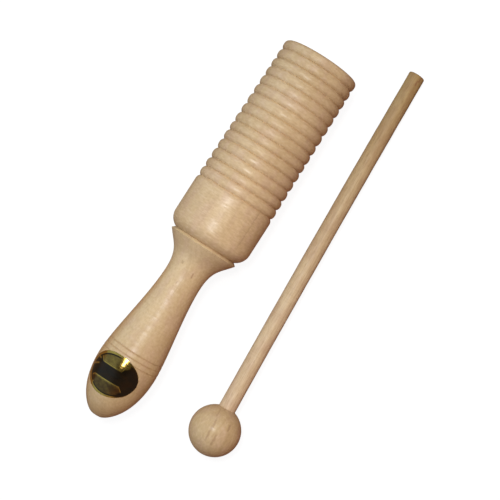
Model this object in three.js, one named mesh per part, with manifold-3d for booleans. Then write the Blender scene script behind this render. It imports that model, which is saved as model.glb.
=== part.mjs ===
// A turned wooden tone block with its mallet, lying side by side, in millimetres and +Z up.
// The block lies along +Y from butt to mouth. Along it, y = 0 is the sharp lip of the handle's collar.
// The finished group stands on z = 0 with its origin under the middle of its box.
import * as THREE from 'three';
import { mergeVertices } from 'three/addons/utils/BufferGeometryUtils.js';
import Module from 'manifold-3d';

// Head: the hollow resonator
const barrelRadius = 20.3;
const barrelLength = 26.1; // smooth stretch, from the head's own face to the first groove
const shoulderRadius = 7.5; // round edge where the barrel drops to the collar
const headFaceRadius = 16; // small end of the shoulder
const grooveCount = 15;
const ribPitch = 4.97;
const grooveDepth = 1.1;
const ribFullness = 2.6; // 2 gives round ribs, more gives flatter ones
const endRibWidth = 4.9; // last groove to the mouth
const mouthRadius = 19.3; // the ribbed stretch tapers to this
const mouthRound = 2; // outer edge of the mouth
const mouthEase = 0.5; // inner edge of the mouth
const boreRadius = 13;
const floorThickness = 6.5; // wood between the handle's tenon and the bore
const slotWidth = 5; // sound slot, along the underside
const slotLand = 11; // uncut wall between the bore's floor and the slot's round end

// Handle: collar, neck, bulb and butt, turned in one with its tenon
const collarRadius = 17.4;
const collarBevel = 0.9; // how far the lip stands behind the joint
const flareAngle = 36.8; // slope of the flare where it meets the lip, in degrees
const flareRun = 7.2; // how far that slope is felt
const neckRadius = 9.4;
const neckDistance = 17.5; // lip to the thinnest place
const neckRunToFlare = 10.3; // how straight the neck stays on either side
const neckRunToBulb = 15;
const bulbRadius = 14.6;
const bulbDistance = 47.9; // thinnest place to the thickest
const bulbRunToNeck = 11.7;
const bulbRunToButt = 20.5;
const buttDistance = 26.8; // thickest place to the end
const buttRadius = 2.5; // small flat at the very end
const buttFullness = 1.5; // how blunt the end is
const tenonRadius = 7;
const tenonLength = 16;
const tenonChamfer = 0.8;
const jointGap = 0.3; // glue line round the tenon and between the two faces

// Decorative lines turned round the bulb
const lineCount = 3;
const linePitch = 2.6;
const lineSetback = 2.7; // bulb's thickest place to the nearest line
const lineWidth = 0.6;
const lineDepth = 0.3;

// Foil label, an oval wrapped round the bulb
const labelLength = 20.4;
const labelGirth = 28; // measured round the handle
const labelSetback = 6.05; // bulb's thickest place to the label's middle, towards the butt
const labelTurn = 15; // degrees from the top towards the block's left side
const labelThickness = 0.2;
const labelLift = 0.2; // glue under the foil

// Mallet: a bead on a dowel
const ballRadius = 12.4;
const stickRootRadius = 4.2;
const stickTipRadius = 4;
const stickReach = 193.25; // ball's centre to the stick's tip
const stickPast = 2.5; // how far the stick goes in past the ball's centre
const stickEase = 0.4; // broken edge at the tip
const stickFit = 0.3; // glue line in the ball's hole

// Where the mallet lies beside the block
const malletAside = 50.55; // block's axis to the ball's centre
const malletBack = 69.44; // lip to the ball's centre, towards the butt
const malletToe = 2.92; // degrees by which the stick closes on the block

// How finely round things are divided
const blockSides = 40;
const stickSides = 20;
const ballSides = 28;
const labelSides = 36;
const curveSteps = 10;
const shoulderSteps = 5;
const mouthSteps = 4;
const ballSteps = 7; // from its back to its middle
const ballFrontSteps = 5; // from its middle to the hole
const slotSteps = 8;
const ribStations = [-0.5, -0.36, -0.15, 0.15, 0.36]; // places across a rib, as shares of its width
const labelRings = [0, 0.25, 0.5, 0.75, 1]; // places from the label's middle to its rim

const radians = THREE.MathUtils.degToRad;

// Places along the block that follow from the sizes above
const headFaceY = collarBevel + jointGap;
const firstGrooveY = headFaceY + barrelLength;
const lastGrooveY = firstGrooveY + (grooveCount - 1) * ribPitch;
const mouthY = lastGrooveY + endRibWidth;
const socketRadius = tenonRadius + jointGap;
const tenonEndY = collarBevel + tenonLength;
const socketFloorY = tenonEndY + jointGap;
const boreFloorY = socketFloorY + floorThickness;
const neckY = -neckDistance;
const bulbY = neckY - bulbDistance;
const buttY = bulbY - buttDistance;

// A lathe profile is a list of points (radius, y), taken from low y to high y up the outside.
function point(radius, y) {
  return new THREE.Vector2(radius, y);
}

function arc(centreRadius, centreY, radius, fromAngle, toAngle, steps) {
  const points = [];
  for (let i = 0; i <= steps; i += 1) {
    const angle = fromAngle + ((toAngle - fromAngle) * i) / steps;
    points.push(point(centreRadius + radius * Math.cos(angle), centreY + radius * Math.sin(angle)));
  }
  return points;
}

function makeMesh(name, geometry, color, roughness, metalness) {
  const material = new THREE.MeshStandardMaterial({ color, roughness, metalness });
  const mesh = new THREE.Mesh(geometry, material);
  mesh.name = name;
  return mesh;
}

// Solids for cutting
const wasm = await Module();
wasm.setup();

function toSolid(geometry) {
  const bare = geometry.clone();
  bare.deleteAttribute('normal');
  bare.deleteAttribute('uv');
  const merged = mergeVertices(bare);
  const vertProperties = merged.attributes.position.array;
  const triVerts = Uint32Array.from(merged.index.array);
  return new wasm.Manifold(new wasm.Mesh({ numProp: 3, vertProperties, triVerts }));
}

function toGeometry(solid) {
  const cut = solid.getMesh();
  const geometry = new THREE.BufferGeometry();
  geometry.setAttribute('position', new THREE.BufferAttribute(cut.vertProperties, 3));
  geometry.setIndex(new THREE.BufferAttribute(cut.triVerts, 1));
  geometry.computeVertexNormals();
  return geometry;
}

// Head
function crestRadius(y) {
  const along = Math.max(0, (y - firstGrooveY) / (mouthY - firstGrooveY));
  return barrelRadius + (mouthRadius - barrelRadius) * along;
}

// The share of the groove's depth that is cut away at a place across a rib, from -0.5 to 0.5
function ribCut(across) {
  return Math.abs(2 * across) ** ribFullness;
}

function ribPoint(middleY, width, across) {
  const y = middleY + across * width;
  return point(crestRadius(y) - grooveDepth * ribCut(across), y);
}

function headProfile() {
  const shoulderCentreRadius = barrelRadius - shoulderRadius;
  const shoulderStart = Math.acos((headFaceRadius - shoulderCentreRadius) / shoulderRadius);
  const shoulderCentreY = headFaceY + shoulderRadius * Math.sin(shoulderStart);
  const shoulder = arc(shoulderCentreRadius, shoulderCentreY, shoulderRadius, -shoulderStart, 0, shoulderSteps);

  // Half a rib leads from the smooth barrel down into the first groove, and whole ribs follow.
  const rising = ribStations.filter((across) => across < 0);
  const falling = ribStations.filter((across) => across > 0);
  const ribs = [0, ...falling].map((across) => ribPoint(firstGrooveY - ribPitch / 2, ribPitch, across));
  for (let i = 0; i < grooveCount - 1; i += 1) {
    const middleY = firstGrooveY + (i + 0.5) * ribPitch;
    for (const across of ribStations) {
      ribs.push(ribPoint(middleY, ribPitch, across));
    }
  }
  for (const across of rising) {
    ribs.push(ribPoint(lastGrooveY + endRibWidth / 2, endRibWidth, across));
  }

  const mouth = arc(mouthRadius - mouthRound, mouthY - mouthRound, mouthRound, 0, Math.PI / 2, mouthSteps);
  return [
    point(0, socketFloorY),
    point(socketRadius, socketFloorY),
    point(socketRadius, headFaceY),
    ...shoulder,
    ...ribs,
    ...mouth,
    point(boreRadius + mouthEase, mouthY),
    point(boreRadius, mouthY - mouthEase),
    point(boreRadius, boreFloorY),
    point(0, boreFloorY),
  ];
}

// A straight slot with one round end, open at the mouth, cut up through the lower wall into the bore
function slotCutter() {
  const overrun = 3;
  const half = slotWidth / 2;
  const roundY = boreFloorY + slotLand + half;
  const outline = new THREE.Shape();
  outline.moveTo(half, mouthY + overrun);
  outline.lineTo(-half, mouthY + overrun);
  outline.lineTo(-half, roundY);
  outline.absarc(0, roundY, half, Math.PI, 2 * Math.PI, false);
  outline.closePath();
  const cutter = new THREE.ExtrudeGeometry(outline, {
    depth: barrelRadius + overrun - boreRadius / 2,
    bevelEnabled: false,
    curveSegments: slotSteps,
  });
  return cutter.translate(0, 0, -barrelRadius - overrun);
}

function makeHead() {
  const turned = toSolid(new THREE.LatheGeometry(headProfile(), blockSides));
  const slotted = turned.subtract(toSolid(slotCutter()));
  return makeMesh('tone_head', toGeometry(slotted), '#dcbd94', 0.5, 0);
}

// Handle
const flare = new THREE.CubicBezierCurve(
  point(neckRadius, neckY),
  point(neckRadius, neckY + neckRunToFlare),
  point(
    collarRadius - flareRun * Math.sin(radians(flareAngle)),
    -flareRun * Math.cos(radians(flareAngle)),
  ),
  point(collarRadius, 0),
);
const swell = new THREE.CubicBezierCurve(
  point(bulbRadius, bulbY),
  point(bulbRadius, bulbY + bulbRunToNeck),
  point(neckRadius, neckY - neckRunToBulb),
  point(neckRadius, neckY),
);
const butt = new THREE.CubicBezierCurve(
  point(buttRadius, buttY),
  point(buttRadius + buttFullness, buttY),
  point(bulbRadius, bulbY - bulbRunToButt),
  point(bulbRadius, bulbY),
);

// Radius of the bare handle at a place along it, before the decorative lines
function handleRadius(y) {
  const curve = [butt, swell, flare].find((piece) => y <= piece.v3.y) ?? flare;
  let low = 0;
  let high = 1;
  while (high - low > 1e-9) {
    const middle = (low + high) / 2;
    if (curve.getPoint(middle).y < y) {
      low = middle;
    } else {
      high = middle;
    }
  }
  return curve.getPoint(low).x;
}

function handleProfile() {
  const lines = [];
  for (let i = 0; i < lineCount; i += 1) {
    lines.push(bulbY + lineSetback + i * linePitch);
  }
  const clearOfLines = (bare) => lines.every((lineY) => Math.abs(bare.y - lineY) > lineWidth);
  const swellPoints = swell.getPoints(curveSteps).filter(clearOfLines);
  for (const lineY of lines) {
    const start = lineY - lineWidth / 2;
    const end = lineY + lineWidth / 2;
    swellPoints.push(point(handleRadius(start), start));
    swellPoints.push(point(handleRadius(lineY) - lineDepth, lineY));
    swellPoints.push(point(handleRadius(end), end));
  }
  swellPoints.sort((a, b) => a.y - b.y);
  return [
    point(0, buttY),
    ...butt.getPoints(curveSteps).slice(0, -1),
    ...swellPoints,
    ...flare.getPoints(curveSteps).slice(1),
    point(headFaceRadius, collarBevel),
    point(tenonRadius, collarBevel),
    point(tenonRadius, tenonEndY - tenonChamfer),
    point(tenonRadius - tenonChamfer, tenonEndY),
    point(0, tenonEndY),
  ];
}

function makeHandle() {
  const geometry = new THREE.LatheGeometry(handleProfile(), blockSides);
  return makeMesh('handle', geometry, '#d8b88c', 0.45, 0);
}

// Label: a thin round disc, stretched to an oval and wrapped round the bulb
function makeLabel() {
  const under = labelRings.map((share) => point(share, 0));
  const over = labelRings.map((share) => point(share, 1)).reverse();
  const disc = new THREE.LatheGeometry([...under, ...over], labelSides);
  const labelY = bulbY - labelSetback;
  const wrapRadius = handleRadius(labelY);
  const position = disc.attributes.position;
  for (let i = 0; i < position.count; i += 1) {
    const y = labelY - (position.getZ(i) * labelLength) / 2;
    const turn = radians(labelTurn) - (position.getX(i) * labelGirth) / 2 / wrapRadius;
    const radius = handleRadius(y) + labelLift + position.getY(i) * labelThickness;
    position.setXYZ(i, -radius * Math.sin(turn), y, radius * Math.cos(turn));
  }
  disc.computeVertexNormals();
  return makeMesh('foil_label', disc, '#8a6f2a', 0.3, 0.9);
}

// Mallet: both pieces are turned about the stick's axis, with the ball's centre at y = 0
function makeStick() {
  const profile = [
    point(0, -stickPast),
    point(stickRootRadius, -stickPast),
    point(stickRootRadius, ballRadius),
    point(stickTipRadius, stickReach - stickEase),
    point(stickTipRadius - stickEase, stickReach),
    point(0, stickReach),
  ];
  const geometry = new THREE.LatheGeometry(profile, stickSides);
  return makeMesh('mallet_stick', geometry, '#cfac7d', 0.55, 0);
}

function makeBall() {
  const holeRadius = stickRootRadius + stickFit;
  const rim = Math.acos(holeRadius / ballRadius);
  const lower = arc(0, 0, ballRadius, -Math.PI / 2, 0, ballSteps);
  const upper = arc(0, 0, ballRadius, 0, rim, ballFrontSteps).slice(1);
  const hole = [point(holeRadius, -stickPast - stickFit), point(0, -stickPast - stickFit)];
  const geometry = new THREE.LatheGeometry([...lower, ...upper, ...hole], ballSides);
  return makeMesh('mallet_ball', geometry, '#d6b78c', 0.5, 0);
}

const block = new THREE.Group();
block.add(makeHead(), makeHandle(), makeLabel());
block.position.z = barrelRadius;

// The mallet lies on its ball and on the tip of its stick.
const mallet = new THREE.Group();
const malletDip = Math.asin((ballRadius - stickTipRadius) / stickReach);
mallet.add(makeStick(), makeBall());
mallet.rotation.set(-malletDip, 0, radians(malletToe), 'ZXY');
mallet.position.set(malletAside, -malletBack, ballRadius);

const toneBlockSet = new THREE.Group();
toneBlockSet.add(block, mallet);
const extent = new THREE.Box3().setFromObject(toneBlockSet, true);
const middle = extent.getCenter(new THREE.Vector3());
toneBlockSet.position.set(-middle.x, -middle.y, -extent.min.z);

export default toneBlockSet;
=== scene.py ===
import bisect
import math
import random

import bpy
from mathutils import Matrix, Vector
from mathutils.geometry import interpolate_bezier


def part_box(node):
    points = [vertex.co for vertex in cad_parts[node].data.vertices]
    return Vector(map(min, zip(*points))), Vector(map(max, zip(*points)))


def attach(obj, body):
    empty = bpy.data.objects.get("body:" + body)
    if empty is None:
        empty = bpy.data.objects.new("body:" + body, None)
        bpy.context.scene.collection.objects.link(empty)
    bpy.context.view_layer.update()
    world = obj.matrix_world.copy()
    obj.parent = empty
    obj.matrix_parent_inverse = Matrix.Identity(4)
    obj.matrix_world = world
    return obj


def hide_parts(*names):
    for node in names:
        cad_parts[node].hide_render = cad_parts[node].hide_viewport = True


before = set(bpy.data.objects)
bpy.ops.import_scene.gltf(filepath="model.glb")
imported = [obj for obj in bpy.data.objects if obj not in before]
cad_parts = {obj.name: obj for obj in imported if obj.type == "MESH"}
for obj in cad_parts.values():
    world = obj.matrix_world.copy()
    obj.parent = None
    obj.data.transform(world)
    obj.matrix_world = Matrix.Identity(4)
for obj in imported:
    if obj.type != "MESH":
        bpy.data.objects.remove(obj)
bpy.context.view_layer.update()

mm = 0.001
random.seed(11)

# Where the CAD put things
headLow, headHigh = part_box("tone_head")
handleLow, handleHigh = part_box("handle")
ballLow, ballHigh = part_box("mallet_ball")
blockAxis = Vector(((headLow.x + headHigh.x) / 2, 0, (headLow.z + headHigh.z) / 2))
ballCentre = (ballLow + ballHigh) / 2
print("frame loaded")


# Camera: nearly straight down, from a little to the right of the block
cameraSet = {
    "place": Vector((0.01843, -0.00725, 0.63522)),
    "target": Vector((-0.00296, -0.00532, 0)),
    "pictureTurn": math.radians(32.67),  # the picture's up, turned from +Y towards -X
    "lens": 95.63,  # mm, on the usual 36 mm sensor
}


def addCamera(s):
    back = (s["place"] - s["target"]).normalized()
    hint = Vector((-math.sin(s["pictureTurn"]), math.cos(s["pictureTurn"]), 0))
    up = (hint - back * hint.dot(back)).normalized()
    right = up.cross(back)
    data = bpy.data.cameras.new("photoCamera")
    data.lens = s["lens"]
    data.clip_start = 0.01
    camera = bpy.data.objects.new("photoCamera", data)
    bpy.context.scene.collection.objects.link(camera)
    turn = Matrix((right, up, back)).transposed()
    camera.matrix_world = Matrix.Translation(s["place"]) @ turn.to_4x4()
    bpy.context.scene.camera = camera


addCamera(cameraSet)
print("camera placed")


# Materials
class Value:  # one output inside a material, with the usual operators
    def __init__(self, finish, socket):
        self.finish = finish
        self.socket = socket

    def maths(self, operation, *others):
        inputs = dict(enumerate([self, *others]))
        return self.finish.node("ShaderNodeMath", {"operation": operation}, inputs)

    def __add__(self, other):
        return self.maths("ADD", other)

    def __mul__(self, other):
        return self.maths("MULTIPLY", other)

    def __sub__(self, other):
        return self.maths("SUBTRACT", other)

    def __rsub__(self, other):
        return (self * -1) + other

    def __truediv__(self, other):
        return self.maths("DIVIDE", other)

    def __pow__(self, other):
        return self.maths("POWER", other)

    __radd__ = __add__
    __rmul__ = __mul__


class Finish:  # the nodes of one material, or of the sky
    def __init__(self, owner):
        owner.use_nodes = True
        self.owner = owner
        self.tree = owner.node_tree
        self.tree.nodes.clear()

    def node(self, kind, settings=None, inputs=None, output=0):
        made = self.tree.nodes.new(kind)
        for key, value in (settings or {}).items():
            if key == "stops":
                ramp = made.color_ramp.elements
                while len(ramp) < len(value):
                    ramp.new(1)
                for element, (position, colour) in zip(ramp, value):
                    element.position = position
                    element.color = (*colour, 1)
            else:
                setattr(made, key, value)
        for key, value in (inputs or {}).items():
            if isinstance(value, Value):
                self.tree.links.new(value.socket, made.inputs[key])
            else:
                made.inputs[key].default_value = value
        return Value(self, made.outputs[output]) if made.outputs else None

    def blend(self, share, first, second, kind="MIX"):
        settings = {"data_type": "RGBA", "blend_type": kind, "clamp_factor": True}
        colours = [c if isinstance(c, Value) else (*c, 1) for c in (first, second)]
        inputs = {"Factor": share, 6: colours[0], 7: colours[1]}
        return self.node("ShaderNodeMix", settings, inputs, 2)

    def mask(self, value, low, high):  # 0 below low, 1 above high, smooth between
        settings = {"interpolation_type": "SMOOTHSTEP"}
        return self.node("ShaderNodeMapRange", settings, {0: value, 1: low, 2: high})

    def noise(self, place, scale, detail=3.0, roughness=0.5, output="Fac"):
        inputs = {"Vector": place, "Scale": scale, "Detail": detail, "Roughness": roughness}
        return self.node("ShaderNodeTexNoise", {}, inputs, output)

    def stretch(self, place, factors):
        return self.node("ShaderNodeVectorMath", {"operation": "MULTIPLY"}, {0: place, 1: factors})

    def local(self, centre, turn):  # millimetres from a piece's own axis, +Y along it
        place = self.node("ShaderNodeTexCoord", output="Object")
        inputs = {"Vector": place, "Location": centre, "Rotation": turn, "Scale": (mm, mm, mm)}
        return self.node("ShaderNodeMapping", {"vector_type": "TEXTURE"}, inputs)

    def parts(self, vector):
        split = self.node("ShaderNodeSeparateXYZ", inputs={0: vector})
        outputs = split.socket.node.outputs
        return [Value(self, outputs[i]) for i in range(3)]

    def finish(self, inputs):
        shader = self.node("ShaderNodeBsdfPrincipled", inputs=inputs)
        self.node("ShaderNodeOutputMaterial", inputs={"Surface": shader})
        return self.owner


def turnedWood(name, s):
    f = Finish(bpy.data.materials.new(name))
    place = f.local(s["centre"], s["turn"])
    x, y, z = f.parts(place)

    def layer(kind):
        lengthwise, scale, detail, roughness = s["grain"][kind]
        return f.noise(f.stretch(place, (1, lengthwise, 1)), scale, detail, roughness)

    # growth rings, seen as long lines because the pith lies well outside the piece
    drift = f.noise(f.stretch(place, (1, 0.06, 1)), 0.05, 2, output="Color")
    driftX, driftZ = f.parts(drift)[::2]
    acrossX = x - s["pith"][0] + (driftX - 0.5) * s["ringDrift"]
    acrossZ = z - s["pith"][1] + (driftZ - 0.5) * s["ringDrift"]
    radius = (acrossX * acrossX + acrossZ * acrossZ) ** 0.5
    phase = radius / s["ringWidth"]
    ring = phase.maths("FRACT")
    ringNumber = phase.maths("FLOOR")
    ringStrength = f.node("ShaderNodeTexWhiteNoise", {"noise_dimensions": "1D"}, {"W": ringNumber})
    lateWood = f.mask(ring, 0.55, 0.97) * (1 - f.mask(ring, 0.975, 1.0)) * (ringStrength * 0.8 + 0.2)

    # long fibres, short pores and brown flecks
    fibre = layer("fibre")
    silk = layer("silk")
    pore = f.mask(layer("pore"), 0.66, 0.74)
    fleck = f.mask(layer("fleck"), s["fleckFrom"], s["fleckFrom"] + 0.045)

    # cloudy colour and rosy patches
    cloud = layer("cloud")
    patch = layer("patch")

    # cuts across the grain show darker
    normal = f.node("ShaderNodeTexCoord", output="Normal")
    facing = f.node("ShaderNodeVectorMath", {"operation": "DOT_PRODUCT"}, {0: normal, 1: s["along"]}, "Value")
    facing = facing.maths("ABSOLUTE") if s["endBoth"] else facing * -1
    endGrain = f.mask(facing, 0.25, 0.95)

    colour = f.blend(f.mask(cloud, 0.3, 0.7), s["pale"], s["deep"])
    colour = f.blend(f.mask(patch, 0.42, 0.68) * s["rosyShow"], colour, s["rosy"])
    colour = f.blend(lateWood * s["ringShow"], colour, s["brown"])
    colour = f.blend(f.mask(fibre, 0.45, 0.8) * s["fibreShow"], colour, s["brown"])
    colour = f.blend(f.mask(silk, 0.5, 0.8) * s["silkShow"], colour, s["pale"])
    colour = f.blend(pore * s["poreShow"], colour, s["brown"])
    colour = f.blend(fleck * s["fleckShow"], colour, s["fleck"])
    colour = f.blend(endGrain * s["endShow"], colour, s["brown"])

    # tool marks round the piece, and the short mottling of the fibres
    tool = f.node("ShaderNodeTexNoise", {"noise_dimensions": "1D"}, {"W": y, "Scale": 1.3, "Detail": 3.0})
    toolFade = f.mask(f.noise(place, 0.16, 2), 0.35, 0.75)
    colour = f.blend(f.mask(tool, 0.5, 0.68) * toolFade * s["lineShow"], colour, s["brown"])
    mottle = f.noise(f.stretch(place, s["mottleStretch"]), 1.0, 1.5, 0.5)
    colour = f.blend(f.mask(mottle, 0.42, 0.72) * s["mottleShow"], colour, s["brown"])
    colour = f.blend((1 - f.mask(mottle, 0.28, 0.48)) * s["mottleShow"], colour, s["light"])
    height = tool * toolFade * s["toolDepth"] + fibre * 0.020 + silk * 0.012 - pore * 0.03 - fleck * 0.02
    bump = f.node("ShaderNodeBump", {}, {"Strength": 1.0, "Distance": mm, "Height": height})

    # a slow change along the piece, darker towards one end
    start, end, darker = s["tone"]
    share = f.node("ShaderNodeMapRange", {}, {0: y, 1: start, 2: end}) ** s["toneCurve"]
    colour = f.blend(share, colour, darker, "MULTIPLY")

    # places with a shade of their own; on the head's grooves and the collar's bevel this is painted light
    for area, shade in s["shades"]:
        colour = f.blend(area(f, x, y, z), colour, shade, "MULTIPLY")

    # single marks: place across and along the piece, half length and half width in mm, and strength
    for across, middle, halfLength, halfWidth, strength in s["marks"]:
        wobble = (f.noise(place, 0.5, 2) - 0.5) * halfWidth * 2
        aside = (x - across + wobble).maths("ABSOLUTE")
        mark = (1 - f.mask(aside, halfWidth * 0.3, halfWidth)) * f.mask(z, -1, 1)
        mark = mark * (1 - f.mask((y - middle).maths("ABSOLUTE"), halfLength * 0.6, halfLength))
        colour = f.blend(mark * strength, colour, s["markColour"])

    rough = s["rough"] + (silk - 0.5) * 0.16 + (cloud - 0.5) * 0.1 + endGrain * 0.12

    # lacquer rubbed thin in rings, so a glint breaks up into short lines
    rubbed = f.noise(f.stretch(place, (0.25, 1, 0.25)), 0.32, 2)
    coat = (f.mask(tool, 0.35, 0.65) * 0.6 + 0.4) * (f.mask(rubbed, 0.42, 0.6) * 0.8 + 0.2) * s["coat"]
    return f.finish({
        "Base Color": colour, "Roughness": rough, "Normal": bump,
        "Coat Weight": coat, "Coat Roughness": s["coatRough"], "Specular IOR Level": 0.4,
    })


woodCommon = {
    "turn": (0, 0, 0), "along": (0, 1, 0),
    "grain": {  # squeeze along the piece, where small draws a noise out, then scale, detail and roughness
        "fibre": (0.035, 2.6, 4, 0.62), "silk": (0.11, 7.0, 2, 0.6), "pore": (0.07, 4.4, 1, 0.5),
        "fleck": (0.22, 0.62, 1.5, 0.45), "cloud": (0.35, 0.09, 3, 0.55), "patch": (0.5, 0.21, 2, 0.5),
    },
    "rosy": (0.60, 0.405, 0.265), "brown": (0.34, 0.20, 0.085), "light": (0.80, 0.63, 0.42),
    "fleck": (0.24, 0.12, 0.05), "markColour": (0.25, 0.12, 0.05),
    "mottleShow": 0.16, "mottleStretch": (1, 0.5, 1), "rosyShow": 0.5, "silkShow": 0.12, "fleckShow": 0.4,
    "ringWidth": 4.6, "ringDrift": 5.0, "ringShow": 0.16, "lineShow": 0.16,
    "fibreShow": 0.16, "poreShow": 0.14, "fleckFrom": 0.775, "endShow": 0.3, "endBoth": True,
    "toneCurve": 1.4, "shades": [], "rough": 0.45, "coatRough": 0.3,
}


# Tools for turned pieces
def deselectAll():
    bpy.ops.object.select_all(action="DESELECT")


def turnPiece(name, profile, axis, steps):
    # pulls one point along the profile of (radius, y), spins the line round the axis and closes it
    deselectAll()
    radius, y = profile[0]
    start = Vector((axis.x, axis.y + y, axis.z + radius))
    bpy.ops.mesh.primitive_plane_add(size=mm)
    piece = bpy.context.object
    piece.name = name
    bpy.ops.object.mode_set(mode="EDIT")
    bpy.ops.mesh.merge(type="CENTER")
    bpy.ops.transform.translate(value=start)
    for nextRadius, nextY in profile[1:]:
        step = (0, nextY - y, nextRadius - radius)
        bpy.ops.mesh.extrude_region_move(TRANSFORM_OT_translate={"value": step})
        radius, y = nextRadius, nextY
    bpy.ops.mesh.select_all(action="SELECT")
    bpy.ops.mesh.spin(steps=steps, angle=math.tau, center=axis, axis=(0, 1, 0))
    bpy.ops.mesh.select_all(action="SELECT")
    bpy.ops.mesh.remove_doubles(threshold=0.002 * mm)
    bpy.ops.mesh.normals_make_consistent(inside=False)
    bpy.ops.object.mode_set(mode="OBJECT")
    return piece


def smoothPiece(piece, degrees):
    deselectAll()
    piece.select_set(True)
    bpy.context.view_layer.objects.active = piece
    bpy.ops.object.shade_smooth_by_angle(angle=math.radians(degrees))


def dress(piece, material, body, node):
    piece.data.materials.clear()
    piece.data.materials.append(material)
    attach(piece, body)
    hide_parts(node)


def arcPoints(centreRadius, centreY, radius, start, end, steps):
    points = []
    for i in range(steps + 1):
        angle = start + (end - start) * i / steps
        points.append((centreRadius + radius * math.cos(angle), centreY + radius * math.sin(angle)))
    return points


# Head
headSet = {
    "shoulderRadius": 7.5 * mm, "faceRadius": 16 * mm, "barrelLength": 26.1 * mm,
    "grooves": 15, "pitch": 4.97 * mm, "grooveDepth": 1.1 * mm, "ribFullness": 2.6, "endRib": 4.9 * mm,
    "mouthRadius": 19.3 * mm, "mouthRound": 2 * mm, "mouthEase": 0.5 * mm, "boreRadius": 13 * mm,
    "socketRadius": 7.05 * mm, "socketFloor": 16.1 * mm, "boreFloor": 22.5 * mm, "boreCorner": 0.8 * mm,
    "pinRadius": 1.6 * mm, "pinDepth": 1.1 * mm,  # mark left by the drill's point
    "slotWidth": 5 * mm, "slotLand": 11 * mm, "slotOverrun": 3 * mm, "slotSteps": 10,
    "ribSteps": 14, "sides": 160, "shoulderSteps": 18, "mouthSteps": 10, "rimSteps": 4, "boreSteps": 26,
    "cornerSteps": 5, "faceEase": 1.5 * mm, "smooth": 32,
    # tenths of a millimetre by which each groove strays towards the mouth
    "strays": (0, 0, -2, 1, 2, 3, -1, 0, 0, 6, 6, 6, 4, 1, 0),
}


def headProfile(s):
    barrelRadius = (headHigh.z - headLow.z) / 2
    faceY = headLow.y
    mouthY = headHigh.y
    firstGroove = faceY + s["barrelLength"]
    lastGroove = firstGroove + (s["grooves"] - 1) * s["pitch"]

    centreRadius = barrelRadius - s["shoulderRadius"]
    start = math.acos((s["faceRadius"] - centreRadius) / s["shoulderRadius"])
    centreY = faceY + s["shoulderRadius"] * math.sin(start)
    shoulder = arcPoints(centreRadius, centreY, s["shoulderRadius"], -start, 0, s["shoulderSteps"])

    def crest(y):
        along = max(0, (y - firstGroove) / (mouthY - firstGroove))
        return barrelRadius + (s["mouthRadius"] - barrelRadius) * along

    def ribPoint(low, high, across, depthLow, depthHigh):
        y = low + (across + 0.5) * (high - low)
        depth = depthLow if across < 0 else depthHigh
        return crest(y) - depth * abs(2 * across) ** s["ribFullness"], y

    stations = [-0.5 * math.cos(math.pi * k / s["ribSteps"]) for k in range(s["ribSteps"])]
    grooveYs = [firstGroove + i * s["pitch"] + s["strays"][i] * mm / 10 for i in range(s["grooves"])]
    depths = [s["grooveDepth"] * random.uniform(0.9, 1.1) for y in grooveYs]
    ribs = []
    for across in stations[s["ribSteps"] // 2:]:
        first = grooveYs[0]
        ribs.append(ribPoint(first - s["pitch"], first, across, depths[0], depths[0]))
    for i in range(s["grooves"] - 1):
        for across in stations:
            ribs.append(ribPoint(grooveYs[i], grooveYs[i + 1], across, depths[i], depths[i + 1]))
    for across in stations[:s["ribSteps"] // 2 + 1]:
        ribs.append(ribPoint(grooveYs[-1], lastGroove + s["endRib"], across, depths[-1], 0))

    rim = s["mouthRadius"] - s["mouthRound"]
    mouth = arcPoints(rim, mouthY - s["mouthRound"], s["mouthRound"], 0, math.pi / 2, s["mouthSteps"])
    boreFloor = faceY + s["boreFloor"]
    socketFloor = faceY + s["socketFloor"]
    flatWidth = rim - s["boreRadius"] - s["mouthEase"]
    flat = [(rim - flatWidth * k / s["rimSteps"], mouthY) for k in range(1, s["rimSteps"] + 1)]
    boreStep = (mouthY - boreFloor) / s["boreSteps"]
    bore = [(s["boreRadius"], mouthY - s["mouthEase"] - boreStep * k) for k in range(s["boreSteps"])]
    corner = arcPoints(s["boreRadius"] - s["boreCorner"], boreFloor + s["boreCorner"], s["boreCorner"],
                       0, -math.pi / 2, s["cornerSteps"])
    return [
        (0, socketFloor), (s["socketRadius"], socketFloor), (s["socketRadius"], faceY),
        (s["faceRadius"] - s["faceEase"], faceY),
        *shoulder, *ribs, *mouth, *flat, *bore, *corner,
        (s["pinRadius"], boreFloor), (0, boreFloor - s["pinDepth"]),
    ]


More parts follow.
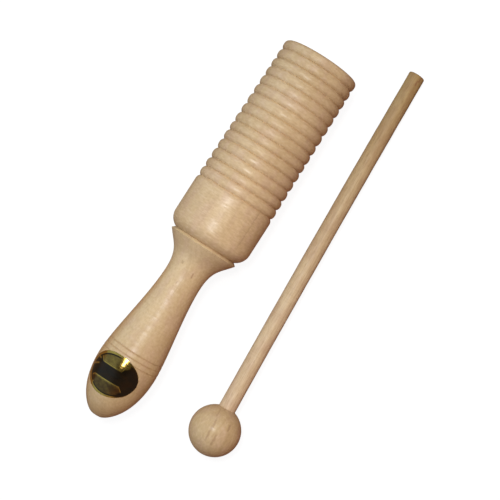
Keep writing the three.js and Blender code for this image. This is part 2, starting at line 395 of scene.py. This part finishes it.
def cutSlot(head, s):
    # a bar with one rounded end, taken out of the lower wall
    half = s["slotWidth"] / 2
    startY = headLow.y + s["boreFloor"] + s["slotLand"]
    endY = headHigh.y + s["slotOverrun"]
    topZ = blockAxis.z - s["boreRadius"] / 2
    bottomZ = headLow.z - s["slotOverrun"]
    deselectAll()
    middle = (blockAxis.x, (startY + endY) / 2, (topZ + bottomZ) / 2)
    size = (s["slotWidth"], endY - startY, topZ - bottomZ)
    bpy.ops.mesh.primitive_cube_add(size=1, location=middle, scale=size)
    cutter = bpy.context.object
    bpy.ops.object.transform_apply(location=True, rotation=True, scale=True)
    bpy.ops.object.mode_set(mode="EDIT")
    bpy.ops.mesh.select_all(action="DESELECT")
    bpy.ops.object.mode_set(mode="OBJECT")
    for edge in cutter.data.edges:
        ends = [cutter.data.vertices[i].co for i in edge.vertices]
        edge.select = all(abs(p.y - startY) < 0.01 * mm for p in ends) and abs(ends[0].z - ends[1].z) > mm
    bpy.ops.object.mode_set(mode="EDIT")
    bpy.ops.mesh.select_mode(type="EDGE")
    justShort = 0.999  # keeps the two rounded corners from meeting in one line
    bpy.ops.mesh.bevel(offset=half * justShort, segments=s["slotSteps"], affect="EDGES")
    bpy.ops.mesh.select_mode(type="VERT")
    bpy.ops.object.mode_set(mode="OBJECT")

    cut = head.modifiers.new("soundSlot", "BOOLEAN")
    cut.operation = "DIFFERENCE"
    cut.solver = "EXACT"
    cut.object = cutter
    deselectAll()
    head.select_set(True)
    bpy.context.view_layer.objects.active = head
    bpy.ops.object.modifier_apply(modifier=cut.name)
    bpy.data.objects.remove(cutter)


def paintedGrooveLight(f, x, y, z):
    # painted light in the grooves, lifting the shade that falls there; it grows with how far below the ribs'
    # crests a point lies
    first = (headLow.y + headSet["barrelLength"]) / mm
    limits = {0: y, 1: first, 2: headHigh.y / mm, 3: blockAxis.z / mm, 4: headSet["mouthRadius"] / mm}
    depth = f.node("ShaderNodeMapRange", {}, limits) - (x * x + z * z) ** 0.5
    outsideBore = 1 - f.mask(depth, 1.3, 1.6)
    pastBarrel = f.mask(y, first - 1.5, first - 0.5)
    return f.mask(depth, 0.0, 0.9) * outsideBore * pastBarrel


headWood = turnedWood("headWood", {
    # the head's grooves are painted paler, lifting their shade
    **woodCommon, "centre": blockAxis, "pith": (-56, -20), "shades": [(paintedGrooveLight, (1.12, 1.13, 1.15))],
    "pale": (0.66, 0.48, 0.27), "deep": (0.575, 0.405, 0.215), "tone": (-10, 88, (0.865, 0.875, 0.865)),
    "coat": 0.9, "coatRough": 0.33, "ringShow": 0.1, "endShow": 0.4, "toolDepth": 0.05,
    "mottleShow": 0.2, "mottleStretch": (0.45, 1.2, 0.45), "lineShow": 0.22,
    "marks": [(14.1, 2, 13, 0.4, 0.2)],
})
head = turnPiece("ribbedHead", headProfile(headSet), blockAxis, headSet["sides"])
cutSlot(head, headSet)
smoothPiece(head, headSet["smooth"])
dress(head, headWood, "block", "tone_head")
print("head turned and slotted")


# Handle
handleSet = {
    "collarRadius": 17.4 * mm, "collarBevel": 0.9 * mm, "flareAngle": math.radians(36.8),
    "flareRun": 7.2 * mm, "neckRadius": 9.4 * mm, "neckDistance": 17.5 * mm,
    "neckRunToFlare": 10.3 * mm, "neckRunToBulb": 15 * mm,
    "bulbRadius": 14.6 * mm, "bulbDistance": 47.9 * mm,
    "bulbRunToNeck": 11.7 * mm, "bulbRunToButt": 20.5 * mm,
    "buttRadius": 2.5 * mm, "buttFullness": 1.5 * mm,
    "tenonRadius": 7 * mm, "tenonLength": 16 * mm, "tenonChamfer": 0.8 * mm,
    "lines": 3, "linePitch": 2.6 * mm, "lineSetback": 2.7 * mm, "lineWidth": 0.26 * mm, "lineDepth": 0.2 * mm,
    "lineFade": (9.5, 12.5), "lineSpread": (0.15, 0.75), "lineShade": 0.75,  # in mm, and strength
    "leftFlank": (-0.97, -0.7), "flankEnd": (40, 60),  # share of the radius, and mm from the bulb
    # where the painted highlight on the collar's bevel begins and ends
    "bevelLightSpan": (-0.1, 0.05, 0.4, 0.6),  # mm from the lip, where the pale bevel begins and ends
    "jointGap": 0.3 * mm, "faceGap": 0.02 * mm, "lipEase": (0.12 * mm, 0.06 * mm),
    "curveSteps": (34, 110, 36), "sides": 128, "smooth": 40,
}
lipY = headLow.y - handleSet["jointGap"] - handleSet["collarBevel"]


def handleOutline(s):
    # (radius, y) points of the bare handle from butt to lip
    neckY = lipY - s["neckDistance"]
    bulbY = neckY - s["bulbDistance"]
    buttY = handleLow.y
    runR = s["flareRun"] * math.sin(s["flareAngle"])
    runY = s["flareRun"] * math.cos(s["flareAngle"])
    butt = [(s["buttRadius"], buttY), (s["buttRadius"] + s["buttFullness"], buttY),
            (s["bulbRadius"], bulbY - s["bulbRunToButt"]), (s["bulbRadius"], bulbY)]
    swell = [(s["bulbRadius"], bulbY), (s["bulbRadius"], bulbY + s["bulbRunToNeck"]),
             (s["neckRadius"], neckY - s["neckRunToBulb"]), (s["neckRadius"], neckY)]
    flare = [(s["neckRadius"], neckY), (s["neckRadius"], neckY + s["neckRunToFlare"]),
             (s["collarRadius"] - runR, lipY - runY), (s["collarRadius"], lipY)]
    outline = []
    for curve, steps in zip((butt, swell, flare), s["curveSteps"]):
        knots = [Vector((*corner, 0)) for corner in curve]
        points = interpolate_bezier(*knots, steps + 1)
        outline.extend((p.x, p.y) for p in points[:-1])
    return outline + [(s["collarRadius"], lipY)], bulbY


def lookUp(outline, y):
    i = min(max(bisect.bisect([point[1] for point in outline], y), 1), len(outline) - 1)
    (lowRadius, lowY), (highRadius, highY) = outline[i - 1], outline[i]
    return lowRadius + (highRadius - lowRadius) * (y - lowY) / (highY - lowY)


def handleProfile(s, outline, bulbY):
    lineYs = [bulbY + s["lineSetback"] + i * s["linePitch"] for i in range(s["lines"])]
    extra = [line + k * s["lineWidth"] / 2 for line in lineYs for k in range(-4, 5)]
    clear = 2.2 * s["lineWidth"]  # the outline's own points make way this far
    plain = [p for p in outline if all(abs(p[1] - line) > clear for line in lineYs)]
    points = sorted(plain + [(lookUp(outline, y), y) for y in extra], key=lambda p: p[1])

    def groove(y):
        return sum(s["lineDepth"] * math.exp(-((y - line) / s["lineWidth"]) ** 2 * 2) for line in lineYs)

    surface = [(radius - groove(y), y) for radius, y in points]
    faceY = headLow.y - s["faceGap"]
    tenonEnd = faceY + s["tenonLength"]
    return [
        (0, outline[0][1]), *surface,
        (surface[-1][0] - s["lipEase"][0], surface[-1][1] + s["lipEase"][1]),
        (headSet["faceRadius"], faceY), (s["tenonRadius"], faceY),
        (s["tenonRadius"], tenonEnd - s["tenonChamfer"]),
        (s["tenonRadius"] - s["tenonChamfer"], tenonEnd), (0, tenonEnd),
    ]


outline, bulbY = handleOutline(handleSet)


def lineCut(f, x, y, z):
    # darker rings at the three fine lines, fading towards both sides
    spacing = handleSet["linePitch"] / mm
    along = (y - (bulbY + handleSet["lineSetback"]) / mm) / spacing
    nearest = along.maths("ROUND").maths("MAXIMUM", 0).maths("MINIMUM", handleSet["lines"] - 1)
    away = (along - nearest).maths("ABSOLUTE") * spacing
    faded = f.mask(x.maths("ABSOLUTE"), *handleSet["lineFade"])
    return (1 - f.mask(away, *handleSet["lineSpread"])) * (1 - faded) * handleSet["lineShade"]


def bevelPaintedLight(f, x, y, z):
    # the collar's bevel, painted paler as a highlight where it faces the light
    rise, full, fall, end = [lipY / mm + away for away in handleSet["bevelLightSpan"]]
    return f.mask(y, rise, full) * (1 - f.mask(y, fall, end))


def leftFlank(f, x, y, z):
    # the handle's left flank, darker and warmer in colour
    side = x / (x * x + z * z) ** 0.5
    start, end = handleSet["flankEnd"]
    neckward = f.mask(y, bulbY / mm + start, bulbY / mm + end)
    return (1 - f.mask(side, *handleSet["leftFlank"])) * (1 - neckward)


handleWood = turnedWood("handleWood", {
    **woodCommon, "centre": blockAxis, "pith": (-50, -30),
    "shades": [
        (lineCut, (0.85, 0.79, 0.73)),
        # painted highlight on the collar's bevel
        (bevelPaintedLight, (1.07, 1.12, 1.13)),
        (leftFlank, (0.88, 0.74, 0.6)),
    ],
    "endBoth": False, "coat": 0.85, "coatRough": 0.33, "toolDepth": 0.045, "mottleStretch": (0.9, 0.8, 0.9),
    "pale": (0.68, 0.505, 0.285), "deep": (0.60, 0.43, 0.23), "tone": (-25, -108, (0.86, 0.82, 0.74)),
    "marks": [(-3.6, -26.6, 0.9, 0.7, 0.35), (3.45, -29.7, 1.6, 0.4, 0.5), (-0.9, -35.9, 0.8, 0.35, 0.35)],
})
handle = turnPiece("waistedHandle", handleProfile(handleSet, outline, bulbY), blockAxis, handleSet["sides"])
smoothPiece(handle, handleSet["smooth"])
dress(handle, handleWood, "block", "handle")
print("handle turned")


# Foil label
labelSet = {
    "length": 20.4 * mm, "girth": 28 * mm, "setback": 6.05 * mm, "turn": math.radians(15),
    "askew": math.radians(3),
    "thickness": 0.09 * mm, "lift": 0.03 * mm, "sides": 160, "rings": 40,
    "creaseDepth": 0.16 * mm, "creaseFrom": 0.72, "foldLength": 0.22, "foldWidth": 0.05, "smooth": 40,
    "ripples": ((9, 1.1, 6, 1.0), (7, -0.6, 8, 0.8)),  # number round the rim, shift, sharpness, strength
    "blister": (0.16, 0.42, 0.38, 0.45 * mm),  # across, along, width and height of a bubble under the foil
    "folds": ((-0.74, 0.46, -0.35, 0.32 * mm), (-0.72, 0.12, 0.5, 0.18 * mm), (-0.55, -0.72, 1.2, 0.22 * mm)),
}


def addLabel(s):
    # a flat oval of rings, wrapped round the bulb, with small creases where the foil had to gather
    deselectAll()
    bpy.ops.mesh.primitive_circle_add(vertices=s["sides"], radius=1, fill_type="NOTHING")
    piece = bpy.context.object
    piece.name = "ovalLabel"
    bpy.ops.object.mode_set(mode="EDIT")
    for k in range(s["rings"], 1, -1):
        bpy.ops.mesh.extrude_region_move()
        shrink = (k - 1) / k
        bpy.ops.transform.resize(value=(shrink, shrink, shrink))
    bpy.ops.mesh.fill_grid(span=s["sides"] // 4)
    bpy.ops.mesh.select_all(action="SELECT")
    bpy.ops.mesh.normals_make_consistent(inside=False)
    bpy.ops.object.mode_set(mode="OBJECT")
    mesh = piece.data
    if mesh.polygons[0].normal.z < 0:
        mesh.flip_normals()

    flat = mesh.uv_layers.new(name="flat")
    for loop in mesh.loops:
        co = mesh.vertices[loop.vertex_index].co
        flat.data[loop.index].uv = (co.x / 2 + 0.5, co.y / 2 + 0.5)

    labelY = bulbY - s["setback"]
    wrapRadius = lookUp(outline, labelY)
    for vertex in mesh.vertices:
        across, along = vertex.co.x, vertex.co.y
        reach = math.hypot(across, along)
        sideways = across * s["girth"] / 2
        lengthways = along * s["length"] / 2
        around = math.atan2(along, across)
        crease = max(0, reach - s["creaseFrom"]) / (1 - s["creaseFrom"])
        ripple = sum(strength * max(0, math.sin(number * around + shift)) ** sharpness
                     for number, shift, sharpness, strength in s["ripples"])
        ends = 0.25 + 0.75 * abs(across) ** 2  # the foil gathers most at both ends
        lift = s["lift"] + s["creaseDepth"] * crease ** 1.5 * ripple * ends
        bubbleX, bubbleY, bubbleWidth, bubbleHeight = s["blister"]
        away = math.hypot(across - bubbleX, along - bubbleY) / bubbleWidth
        lift += bubbleHeight * math.exp(-away ** 2)
        for foldX, foldY, foldTurn, foldHeight in s["folds"]:
            onward = (across - foldX) * math.cos(foldTurn) + (along - foldY) * math.sin(foldTurn)
            aside = (along - foldY) * math.cos(foldTurn) - (across - foldX) * math.sin(foldTurn)
            lengthFade = math.exp(-(onward / s["foldLength"]) ** 2)
            lift += foldHeight * lengthFade * math.exp(-abs(aside) / s["foldWidth"])
        y = labelY + lengthways * math.cos(s["askew"]) + sideways * math.sin(s["askew"])
        turn = s["turn"] - (sideways * math.cos(s["askew"]) - lengthways * math.sin(s["askew"])) / wrapRadius
        radius = lookUp(outline, y) + lift
        vertex.co = (blockAxis.x - radius * math.sin(turn), y, blockAxis.z + radius * math.cos(turn))
    thick = piece.modifiers.new("foilThickness", "SOLIDIFY")
    thick.thickness = s["thickness"]
    thick.offset = 1
    bpy.ops.object.modifier_apply(modifier=thick.name)
    return piece


foilSet = {
    "gold": (0.54, 0.36, 0.065), "dullGold": (0.38, 0.24, 0.04), "brownInk": (0.10, 0.055, 0.014),
    "blackInk": (0.004, 0.003, 0.004), "redInk": (0.012, 0.005, 0.003), "offCentre": 0.05,
    # across, along and width of the patch under the flash's glint where the ink is left off, a painted
    # highlight
    "bare": (0.26, 0.72, 0.27),  # across, along and width of the patch rubbed bare on the bubble
    "ring": (0.84, 0.91), "bandHalf": 0.32, "bandUp": 0.03,  # shares of the oval's half size
    "rightFlare": (0.4, 0.25, 1.6), "leftFlare": (0.5, 0.2, 0.9),  # the band's ends: start, slant and rate
}


def printedFoil(name, s):
    f = Finish(bpy.data.materials.new(name))
    uv = f.node("ShaderNodeUVMap", {"uv_map": "flat"})
    centred = f.node("ShaderNodeVectorMath", {"operation": "MULTIPLY_ADD"},
                     {0: uv, 1: (2, 2, 2), 2: (-1, -1, 0)})
    u, v = f.parts(centred)[:2]
    printU = u - s["offCentre"]
    reach = (printU * printU + v * v) ** 0.5

    def band(value, low, high, soft=0.012):
        return f.mask(value, low - soft, low + soft) * (1 - f.mask(value, high - soft, high + soft))

    # a black ring inside the rim, a dark band that widens at both ends, and plain brown fields either side
    ring = band(reach, *s["ring"])
    start, slant, rate = s["rightFlare"]
    rightEnd = (u - start + v * slant).maths("MAXIMUM", 0) * rate
    start, slant, rate = s["leftFlare"]
    leftEnd = (v * slant - start - u).maths("MAXIMUM", 0) * rate
    fromBand = (v - s["bandUp"]).maths("ABSOLUTE") - (rightEnd + leftEnd + s["bandHalf"])
    bandDark = 1 - f.mask(fromBand, -0.015, 0.015)
    inside = 1 - f.mask(reach, s["ring"][0] - 0.01, s["ring"][0] + 0.01)
    pinLine = band(fromBand, 0.045, 0.065)
    field = inside * band(fromBand, 0.075, 2)
    # painted dark reflection: the right end of the foil is inked dark, as if it mirrored a dark room
    paintedDarkReflection = f.mask(u, 0.42, 0.6) * f.mask(reach, 0.70, 0.80) * (1 - f.mask(reach, 0.93, 0.96) * 0.6)
    # the printed ink, with the painted reflection, sheen and highlight of the foil worked into it
    inkAndPaintedLight = (ring + bandDark * inside + pinLine * inside + paintedDarkReflection).maths("MINIMUM", 1.0)

    # painted sheen along the folds: the ink is left off there, so the creases show bright gold
    for foldX, foldY, foldTurn in (fold[:3] for fold in labelSet["folds"]):
        aside = (v - foldY) * math.cos(foldTurn) - (u - foldX) * math.sin(foldTurn)
        onward = (u - foldX) * math.cos(foldTurn) + (v - foldY) * math.sin(foldTurn)
        paintedFoldSheen = 1 - f.mask(aside.maths("ABSOLUTE"), 0.015, 0.05)
        inkAndPaintedLight = inkAndPaintedLight * (1 - paintedFoldSheen * (1 - f.mask(onward.maths("ABSOLUTE"), 0.08, 0.2)) * 0.9)

    # painted highlight: no ink where the flash's glint falls on the bubble, so the glint shows whole
    bareU, bareV, bareWidth = s["bare"]
    bareReach = ((u - bareU) * (u - bareU) + (v - bareV) * (v - bareV)) ** 0.5
    inkAndPaintedLight = inkAndPaintedLight * (f.mask(bareReach, bareWidth * 0.5, bareWidth) * 0.85 + 0.15)

    wear = f.noise(centred, 5.0, 4, 0.6)
    waves = f.noise(f.stretch(centred, (1, 1.6, 1)), 2.2, 2)
    gold = f.blend(f.mask(wear, 0.35, 0.7), s["gold"], s["dullGold"])
    colour = f.blend(field * (wear * 0.7 + 0.6 - f.mask(v, -0.2, 0.2) * 0.35), gold, s["brownInk"])
    black = f.blend(f.mask(waves, 0.4, 0.65), s["blackInk"], s["redInk"])
    colour = f.blend(inkAndPaintedLight * 0.97, colour, black)
    rough = 0.14 + wear * 0.1 + inkAndPaintedLight * 0.08
    height = inkAndPaintedLight * -0.01 + wear * 0.03 + waves * 0.12
    bump = f.node("ShaderNodeBump", {}, {"Strength": 1.0, "Distance": mm, "Height": height})
    return f.finish({
        "Base Color": colour, "Metallic": 1 - inkAndPaintedLight * 0.3, "Roughness": rough, "Normal": bump,
        "Specular IOR Level": 0.05, "Coat Weight": 0.3, "Coat Roughness": 0.16,
    })


label = addLabel(labelSet)
smoothPiece(label, labelSet["smooth"])
dress(label, printedFoil("goldFoil", foilSet), "block", "foil_label")
print("label wrapped")


# Mallet
malletSet = {
    "rootRadius": 4.2 * mm, "tipRadius": 4 * mm, "reach": 193.25 * mm, "past": 2.5 * mm, "ease": 0.5 * mm,
    "fit": 0.04 * mm, "holeEase": 0.25 * mm, "toe": math.radians(2.92), "stickSides": 64, "ballSides": 112,
    "bow": 0.5 * mm, "waver": 0.03 * mm, "stickSteps": 48, "tipSteps": 4, "ballSteps": 72,
    "endRings": (0.6, 0.3),  # inner rings of the sawn end, in shares of the tip's radius
    "cutTilt": math.radians(3.5), "smooth": 50,
}
ballRadius = (ballHigh.z - ballLow.z) / 2
malletDip = math.asin((ballRadius - malletSet["tipRadius"]) / malletSet["reach"])
malletTurn = (-malletDip, 0, malletSet["toe"])


def layDown(piece):
    # from standing along Y at the origin to its place beside the block
    piece.rotation_euler = malletTurn
    piece.location = ballCentre
    deselectAll()
    piece.select_set(True)
    bpy.context.view_layer.objects.active = piece
    bpy.ops.object.transform_apply(location=True, rotation=True, scale=True)


def addStick(s):
    # a ring pulled out step by step, a little to one side in the middle, as dowels warp
    def bow(y):
        share = max(0, y) / s["reach"]
        return -s["bow"] * 4 * share * (1 - share)

    def radiusAt(y):
        share = max(0, y) / s["reach"]
        return s["rootRadius"] + (s["tipRadius"] - s["rootRadius"]) * share

    y = -s["past"]
    radius = s["rootRadius"]
    length = s["reach"] - s["ease"] + s["past"]
    rings = [-s["past"] + length * k / s["stickSteps"] for k in range(1, s["stickSteps"] + 1)]
    rings = [(ringY, radiusAt(ringY) + random.uniform(-1, 1) * s["waver"]) for ringY in rings]
    easeCentre = (s["tipRadius"] - s["ease"], s["reach"] - s["ease"])
    tip = arcPoints(*easeCentre, s["ease"], 0, math.pi / 2, s["tipSteps"])
    rings += [(ringY, ringRadius) for ringRadius, ringY in tip[1:]]
    rings += [(s["reach"], s["tipRadius"] * share) for share in s["endRings"]]

    deselectAll()
    bpy.ops.mesh.primitive_circle_add(vertices=s["stickSides"], radius=radius, fill_type="NGON",
                                      location=(0, y, 0), rotation=(math.pi / 2, 0, 0))
    piece = bpy.context.object
    piece.name = "malletStick"
    bpy.ops.object.transform_apply(location=True, rotation=True, scale=True)
    bpy.ops.object.mode_set(mode="EDIT")
    bpy.ops.mesh.select_all(action="SELECT")
    for nextY, nextRadius in rings:
        step = (bow(nextY) - bow(y), nextY - y, 0)
        bpy.ops.mesh.extrude_region_move(TRANSFORM_OT_translate={"value": step})
        grow = nextRadius / radius
        bpy.ops.transform.resize(value=(grow, 1, grow), center_override=(bow(nextY), nextY, 0))
        y, radius = nextY, nextRadius
    bpy.ops.mesh.select_all(action="SELECT")
    bpy.ops.mesh.normals_make_consistent(inside=False)
    bpy.ops.mesh.select_all(action="DESELECT")
    bpy.ops.object.mode_set(mode="OBJECT")

    # the saw cut at the tip isn't quite square
    for vertex in piece.data.vertices:
        vertex.select = vertex.co.y > s["reach"] - 2 * s["ease"]
    bpy.ops.object.mode_set(mode="EDIT")
    corner = (-s["tipRadius"], s["reach"], 0)
    bpy.ops.transform.rotate(value=s["cutTilt"], orient_axis="Z", center_override=corner)
    bpy.ops.object.mode_set(mode="OBJECT")
    return piece


def ballProfile(s):
    hole = s["rootRadius"] + s["fit"]
    rimRadius = hole + s["holeEase"]
    rim = math.acos(rimRadius / ballRadius)
    shell = arcPoints(0, 0, ballRadius, -math.pi / 2, rim, s["ballSteps"])
    shell[0] = (0, -ballRadius)
    rimY = shell[-1][1]
    floorY = -s["past"] - s["fit"]
    return [*shell, (hole, rimY - s["holeEase"]), (hole, floorY), (0, floorY)]


along = Matrix.Rotation(malletTurn[2], 3, "Z") @ Matrix.Rotation(malletTurn[0], 3, "X") @ Vector((0, 1, 0))
malletWood = {**woodCommon, "centre": ballCentre, "turn": malletTurn, "along": along}
stickWood = turnedWood("stickWood", {
    **malletWood, "mottleStretch": (1, 0.2, 1), "pale": (0.76, 0.59, 0.375), "deep": (0.68, 0.50, 0.30),
    "pith": (-22, 14), "ringWidth": 2.6, "ringDrift": 2.5, "ringShow": 0.3, "fibreShow": 0.42,
    "poreShow": 0.45, "toolDepth": 0.004, "rough": 0.5, "coat": 0.25, "endShow": 0.8,
    "tone": (0, 195, (0.52, 0.45, 0.28)),
    "marks": [
        (2.1, 191.3, 2, 0.55, 0.95), (1.4, 188.8, 1.8, 0.55, 0.8),
        (1.8, 180, 7, 1.2, 0.3), (2.4, 171, 5, 0.6, 0.25),
    ],
})
ballWood = turnedWood("ballWood", {
    **malletWood, "pale": (0.62, 0.45, 0.24), "deep": (0.54, 0.375, 0.185), "tone": (-20, 20, (1, 1, 1)),
    "pith": (-30, -6), "ringWidth": 5.2, "ringShow": 0.1, "fibreShow": 0.34, "poreShow": 0.25,
    "endShow": 0.34, "toolDepth": 0.006, "rough": 0.48, "coat": 0.7, "coatRough": 0.28,
    "marks": [
        (-1.9, 0.5, 6.5, 0.7, 0.4), (-2.6, 8.5, 2.5, 0.5, 0.2), (1.5, -3, 3.4, 0.8, 0.36),
        (5.1, 5, 2.2, 0.7, 0.4), (6.5, -2, 6, 0.8, 0.15),
    ],
})

stick = addStick(malletSet)
layDown(stick)
smoothPiece(stick, malletSet["smooth"])
dress(stick, stickWood, "mallet", "mallet_stick")

ball = turnPiece("malletBall", ballProfile(malletSet), Vector((0, 0, 0)), malletSet["ballSides"])
layDown(ball)
smoothPiece(ball, malletSet["smooth"])
dress(ball, ballWood, "mallet", "mallet_ball")
print("mallet turned")


# Floor, light and sky
# the floor is a pale light table
floorSet = {"size": 6.0, "colour": (0.15, 0.15, 0.15), "glow": 0.905, "tooth": 900, "toothDepth": 0.05 * mm}


def addFloor(s):
    deselectAll()
    bpy.ops.mesh.primitive_plane_add(size=s["size"], location=(0, 0, 0))
    floor = bpy.context.object
    floor.name = "floor"
    f = Finish(bpy.data.materials.new("palePaper"))
    place = f.node("ShaderNodeTexCoord", output="Object")
    tooth = f.noise(place, s["tooth"], 3)
    bump = f.node("ShaderNodeBump", {}, {"Strength": 0.2, "Distance": s["toothDepth"], "Height": tooth})
    colour = f.blend(tooth, s["colour"], [c * 0.985 for c in s["colour"]])
    floor.data.materials.append(f.finish({
        "Base Color": colour, "Roughness": 0.9, "Normal": bump, "Specular IOR Level": 0.1,
        "Emission Color": (1, 1, 1, 1), "Emission Strength": s["glow"],
    }))
    floor.visible_diffuse = False  # the sides of the wood stay as deep as in the picture
    floor.visible_glossy = False
    floor.visible_shadow = False


lightSet = {
    "soft": {"place": Vector((-0.11, 0.2, 0.71)), "size": 0.4, "power": 2.35, "colour": (1, 0.99, 0.98)},
    "flash": {"place": Vector((-0.08, 0.01, 0.635)), "size": 0.09, "power": 1.3, "colour": (1, 1, 1)},
    "left": {"low": (0.33, 0.205, 0.13), "middle": (0.51, 0.64, 0.80), "top": (0.015, 0.015, 0.015)},
    "right": {"low": (0.13, 0.025, 0.01), "middle": (0.43, 0.28, 0.22), "top": (0.015, 0.015, 0.015)},
    "heights": (0.43, 0.57, 0.9, 0.975),  # low, middle, middle and top; 0 is straight down, 1 straight up
    "sideBlend": 0.5, "wall": (0.88, 0.88, 0.88),
}


def addLight(name, s):
    data = bpy.data.lights.new(name, "AREA")
    data.shape = "DISK"
    data.size = s["size"]
    data.energy = s["power"]
    data.color = s["colour"]
    lamp = bpy.data.objects.new(name, data)
    bpy.context.scene.collection.objects.link(lamp)
    lamp.location = s["place"]
    lamp.rotation_euler = (-s["place"]).to_track_quat("-Z", "Y").to_euler()
    return lamp


def addSky(s):
    # cool from the left, warm from the right and below, dim overhead where the camera is;
    # the camera itself sees a pale wall
    sky = bpy.data.worlds.new("studio")
    f = Finish(sky)
    way = f.node("ShaderNodeTexCoord", output="Generated")
    x, y, z = f.parts(way)
    sides = []
    for side in ("left", "right"):
        shades = [s[side][part] for part in ("low", "middle", "middle", "top")]
        stops = list(zip(s["heights"], shades))
        sides.append(f.node("ShaderNodeValToRGB", {"stops": stops}, {0: z * 0.5 + 0.5}))
    colour = f.blend(f.mask(x, -s["sideBlend"], s["sideBlend"]), *sides)
    light = f.node("ShaderNodeBackground", {}, {"Color": colour})
    wall = f.node("ShaderNodeBackground", {}, {"Color": (*s["wall"], 1)})
    seen = f.node("ShaderNodeLightPath", output="Is Camera Ray")
    both = f.node("ShaderNodeMixShader", {}, {0: seen, 1: light, 2: wall})
    f.node("ShaderNodeOutputWorld", {}, {"Surface": both})
    bpy.context.scene.world = sky


addFloor(floorSet)
softLight = addLight("softLight", lightSet["soft"])
softLight.visible_glossy = False  # only the small flash shows as a glint
addLight("flash", lightSet["flash"])
addSky(lightSet)
bpy.context.scene.view_settings.view_transform = "Standard"
print("floor and light ready")
